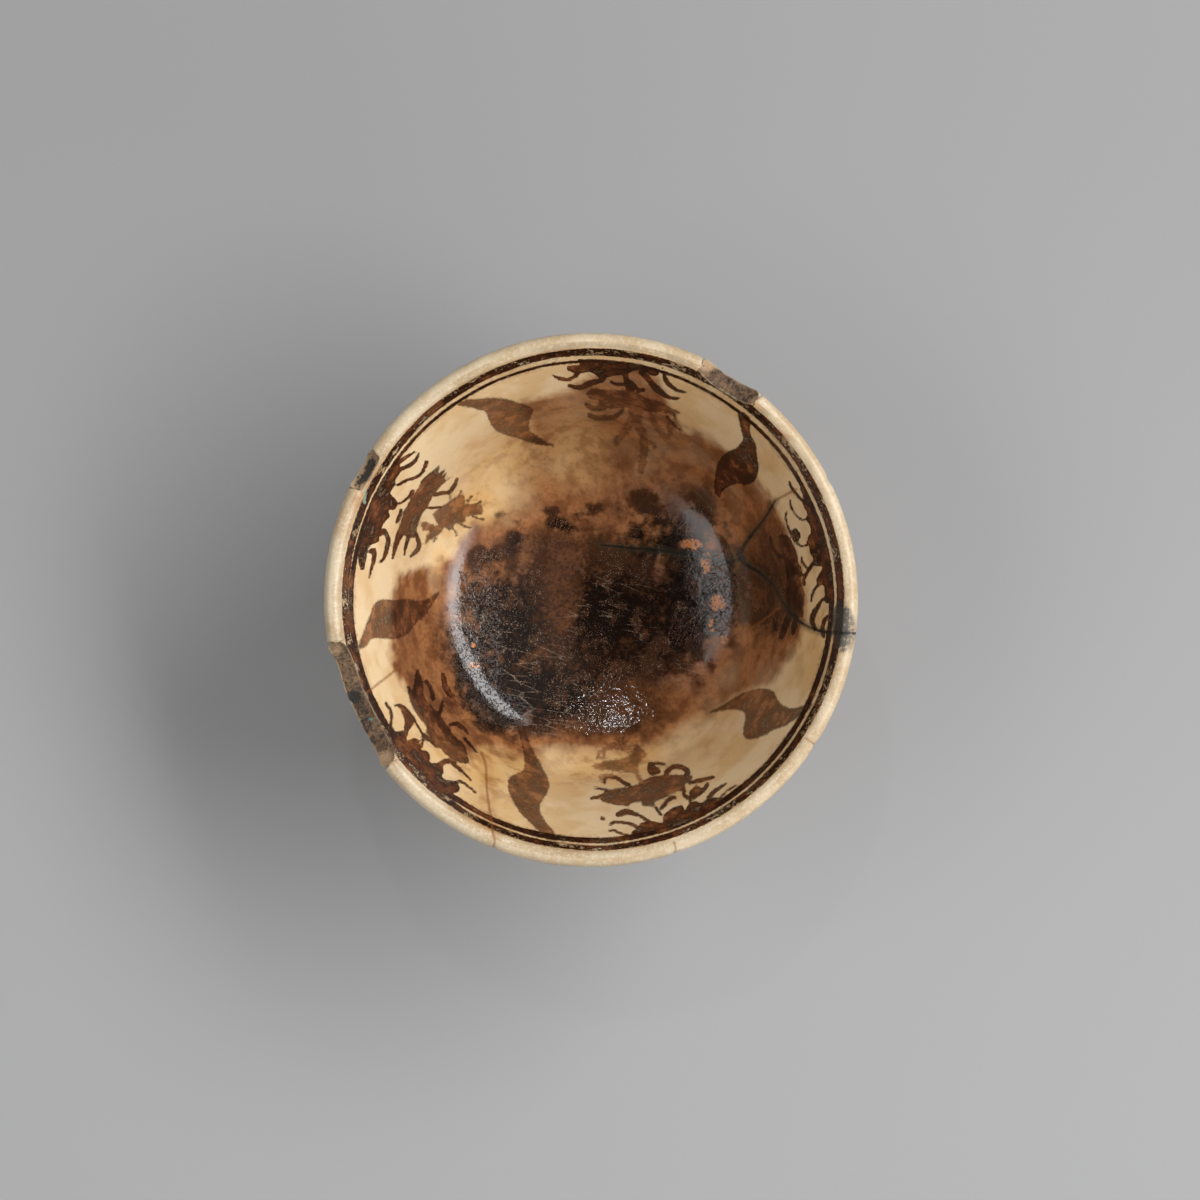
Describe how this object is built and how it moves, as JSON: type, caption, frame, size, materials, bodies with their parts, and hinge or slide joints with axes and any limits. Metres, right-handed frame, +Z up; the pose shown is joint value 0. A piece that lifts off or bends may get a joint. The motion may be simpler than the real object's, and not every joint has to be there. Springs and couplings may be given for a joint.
{
  "type": "lustreware cup",
  "caption": "Small flared ceramic cup on a turned foot ring, lustre painted inside with leaves and sprays, its rim chipped and cracked.",
  "frame": {"origin": "centre of the foot ring's underside, on the plane the cup stands on", "axes": "+Z up along the cup's axis, +X towards the end of the dark mended crack at the rim, +Y away from it by a quarter turn"},
  "size_m": [0.11, 0.11, 0.06],
  "materials": {
    "glaze": "glossy cream tin glaze over stonepaste, brown lustre painting, brown stain and dark floor inside, dirty buff breaks"
  },
  "bodies": {
    "root": {"cup": "glaze"}
  },
  "joints": []
}
